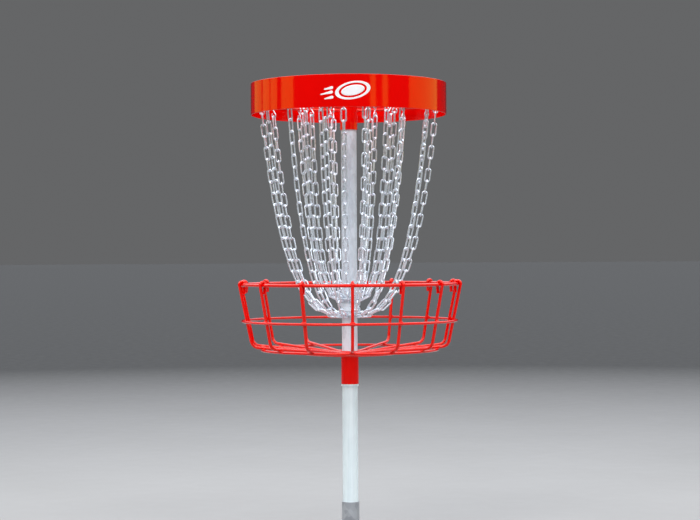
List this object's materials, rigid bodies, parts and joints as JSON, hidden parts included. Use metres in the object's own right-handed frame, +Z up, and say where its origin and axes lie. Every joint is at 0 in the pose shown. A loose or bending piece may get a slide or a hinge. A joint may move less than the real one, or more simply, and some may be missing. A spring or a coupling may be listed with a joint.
{
  "type": "disc golf basket",
  "caption": "Free-standing disc golf basket: a pole with a wire catching basket, a top band and hanging chain strands gathered on a collector.",
  "frame": {"origin": "on the ground under the pole's axis, at the centre of the base ring's underside", "axes": "+Z up along the pole, front at -Y, +X to the right when seen from the front"},
  "size_m": [0.6932, 0.7066, 1.443],
  "materials": {
    "red_paint": "glossy powder coat",
    "galvanised": "hot-dip galvanised, satin",
    "zinc_chain": "bright zinc plate",
    "zinc_hardware": "bright zinc plate",
    "base_steel": "grey galvanised steel"
  },
  "bodies": {
    "stand": {"band": "red_paint", "base_gussets": "base_steel", "base_plate": "base_steel", "base_ring": "base_steel", "base_socket": "base_steel", "base_spokes": "base_steel", "basket_collar": "red_paint", "basket_inner_floor_hoop": "red_paint", "basket_middle_hoop": "red_paint", "basket_outer_floor_hoop": "red_paint", "basket_rim": "red_paint", "basket_wires": "red_paint", "collector_grub_screw": "zinc_hardware", "collector_lower_ring": "galvanised", "collector_sleeve": "galvanised", "collector_tabs": "galvanised", "collector_upper_ring": "galvanised", "hub_cap": "red_paint", "inner_chain_ring": "red_paint", "inner_hooks": "zinc_hardware", "outer_chain_ring": "red_paint", "outer_hooks": "zinc_hardware", "pole": "galvanised", "pole_stop_ring": "galvanised", "set_bolt_nuts": "zinc_hardware", "set_bolts": "zinc_hardware", "top_arms": "red_paint", "top_hub": "red_paint"},
    "outer_strand_01": {"outer_strand_01": "zinc_chain"},
    "outer_strand_02": {"outer_strand_02": "zinc_chain"},
    "outer_strand_03": {"outer_strand_03": "zinc_chain"},
    "outer_strand_04": {"outer_strand_04": "zinc_chain"},
    "outer_strand_05": {"outer_strand_05": "zinc_chain"},
    "outer_strand_06": {"outer_strand_06": "zinc_chain"},
    "outer_strand_07": {"outer_strand_07": "zinc_chain"},
    "outer_strand_08": {"outer_strand_08": "zinc_chain"},
    "outer_strand_09": {"outer_strand_09": "zinc_chain"},
    "outer_strand_10": {"outer_strand_10": "zinc_chain"},
    "outer_strand_11": {"outer_strand_11": "zinc_chain"},
    "outer_strand_12": {"outer_strand_12": "zinc_chain"},
    "outer_strand_13": {"outer_strand_13": "zinc_chain"},
    "outer_strand_14": {"outer_strand_14": "zinc_chain"},
    "inner_strand_01": {"inner_strand_01": "zinc_chain"},
    "inner_strand_02": {"inner_strand_02": "zinc_chain"},
    "inner_strand_03": {"inner_strand_03": "zinc_chain"},
    "inner_strand_04": {"inner_strand_04": "zinc_chain"},
    "inner_strand_05": {"inner_strand_05": "zinc_chain"},
    "inner_strand_06": {"inner_strand_06": "zinc_chain"},
    "inner_strand_07": {"inner_strand_07": "zinc_chain"},
    "inner_strand_08": {"inner_strand_08": "zinc_chain"},
    "inner_strand_09": {"inner_strand_09": "zinc_chain"},
    "inner_strand_10": {"inner_strand_10": "zinc_chain"},
    "inner_strand_11": {"inner_strand_11": "zinc_chain"},
    "inner_strand_12": {"inner_strand_12": "zinc_chain"}
  },
  "joints": [
    {"name": "outer_swing_01", "type": "hinge", "parent": "stand", "child": "outer_strand_01", "pos_m": [0.04985, -0.26637, 1.353], "axis": [0.0656, -0.3507, 0.9342], "range_deg": [-10, 10]},
    {"name": "outer_swing_02", "type": "hinge", "parent": "stand", "child": "outer_strand_02", "pos_m": [0.16049, -0.21837, 1.353], "axis": [0.2113, -0.2875, 0.9342], "range_deg": [-10, 10]},
    {"name": "outer_swing_03", "type": "hinge", "parent": "stand", "child": "outer_strand_03", "pos_m": [0.23934, -0.12711, 1.353], "axis": [0.3151, -0.1673, 0.9342], "range_deg": [-10, 10]},
    {"name": "outer_swing_04", "type": "hinge", "parent": "stand", "child": "outer_strand_04", "pos_m": [0.27079, -0.01067, 1.353], "axis": [0.3565, -0.0141, 0.9342], "range_deg": [-10, 10]},
    {"name": "outer_swing_05", "type": "hinge", "parent": "stand", "child": "outer_strand_05", "pos_m": [0.2486, 0.10787, 1.353], "axis": [0.3273, 0.142, 0.9342], "range_deg": [-10, 10]},
    {"name": "outer_swing_06", "type": "hinge", "parent": "stand", "child": "outer_strand_06", "pos_m": [0.17718, 0.20506, 1.353], "axis": [0.2332, 0.2699, 0.9342], "range_deg": [-10, 10]},
    {"name": "outer_swing_07", "type": "hinge", "parent": "stand", "child": "outer_strand_07", "pos_m": [0.07066, 0.26162, 1.353], "axis": [0.093, 0.3444, 0.9342], "range_deg": [-10, 10]},
    {"name": "outer_swing_08", "type": "hinge", "parent": "stand", "child": "outer_strand_08", "pos_m": [-0.04985, 0.26637, 1.353], "axis": [-0.0656, 0.3507, 0.9342], "range_deg": [-10, 10]},
    {"name": "outer_swing_09", "type": "hinge", "parent": "stand", "child": "outer_strand_09", "pos_m": [-0.16049, 0.21837, 1.353], "axis": [-0.2113, 0.2875, 0.9342], "range_deg": [-10, 10]},
    {"name": "outer_swing_10", "type": "hinge", "parent": "stand", "child": "outer_strand_10", "pos_m": [-0.23934, 0.12711, 1.353], "axis": [-0.3151, 0.1673, 0.9342], "range_deg": [-10, 10]},
    {"name": "outer_swing_11", "type": "hinge", "parent": "stand", "child": "outer_strand_11", "pos_m": [-0.27079, 0.01067, 1.353], "axis": [-0.3565, 0.0141, 0.9342], "range_deg": [-10, 10]},
    {"name": "outer_swing_12", "type": "hinge", "parent": "stand", "child": "outer_strand_12", "pos_m": [-0.2486, -0.10787, 1.353], "axis": [-0.3273, -0.142, 0.9342], "range_deg": [-10, 10]},
    {"name": "outer_swing_13", "type": "hinge", "parent": "stand", "child": "outer_strand_13", "pos_m": [-0.17718, -0.20506, 1.353], "axis": [-0.2332, -0.2699, 0.9342], "range_deg": [-10, 10]},
    {"name": "outer_swing_14", "type": "hinge", "parent": "stand", "child": "outer_strand_14", "pos_m": [-0.07066, -0.26162, 1.353], "axis": [-0.093, -0.3444, 0.9342], "range_deg": [-10, 10]},
    {"name": "inner_swing_01", "type": "hinge", "parent": "stand", "child": "inner_strand_01", "pos_m": [-0.01505, -0.14321, 1.353], "axis": [-0.0201, -0.1908, 0.9814], "range_deg": [-10, 10]},
    {"name": "inner_swing_02", "type": "hinge", "parent": "stand", "child": "inner_strand_02", "pos_m": [0.05857, -0.13155, 1.353], "axis": [0.078, -0.1753, 0.9814], "range_deg": [-10, 10]},
    {"name": "inner_swing_03", "type": "hinge", "parent": "stand", "child": "inner_strand_03", "pos_m": [0.1165, -0.08464, 1.353], "axis": [0.1552, -0.1128, 0.9814], "range_deg": [-10, 10]},
    {"name": "inner_swing_04", "type": "hinge", "parent": "stand", "child": "inner_strand_04", "pos_m": [0.14321, -0.01505, 1.353], "axis": [0.1908, -0.0201, 0.9814], "range_deg": [-10, 10]},
    {"name": "inner_swing_05", "type": "hinge", "parent": "stand", "child": "inner_strand_05", "pos_m": [0.13155, 0.05857, 1.353], "axis": [0.1753, 0.078, 0.9814], "range_deg": [-10, 10]},
    {"name": "inner_swing_06", "type": "hinge", "parent": "stand", "child": "inner_strand_06", "pos_m": [0.08464, 0.1165, 1.353], "axis": [0.1128, 0.1552, 0.9814], "range_deg": [-10, 10]},
    {"name": "inner_swing_07", "type": "hinge", "parent": "stand", "child": "inner_strand_07", "pos_m": [0.01505, 0.14321, 1.353], "axis": [0.0201, 0.1908, 0.9814], "range_deg": [-10, 10]},
    {"name": "inner_swing_08", "type": "hinge", "parent": "stand", "child": "inner_strand_08", "pos_m": [-0.05857, 0.13155, 1.353], "axis": [-0.078, 0.1753, 0.9814], "range_deg": [-10, 10]},
    {"name": "inner_swing_09", "type": "hinge", "parent": "stand", "child": "inner_strand_09", "pos_m": [-0.1165, 0.08464, 1.353], "axis": [-0.1552, 0.1128, 0.9814], "range_deg": [-10, 10]},
    {"name": "inner_swing_10", "type": "hinge", "parent": "stand", "child": "inner_strand_10", "pos_m": [-0.14321, 0.01505, 1.353], "axis": [-0.1908, 0.0201, 0.9814], "range_deg": [-10, 10]},
    {"name": "inner_swing_11", "type": "hinge", "parent": "stand", "child": "inner_strand_11", "pos_m": [-0.13155, -0.05857, 1.353], "axis": [-0.1753, -0.078, 0.9814], "range_deg": [-10, 10]},
    {"name": "inner_swing_12", "type": "hinge", "parent": "stand", "child": "inner_strand_12", "pos_m": [-0.08464, -0.1165, 1.353], "axis": [-0.1128, -0.1552, 0.9814], "range_deg": [-10, 10]}
  ]
}
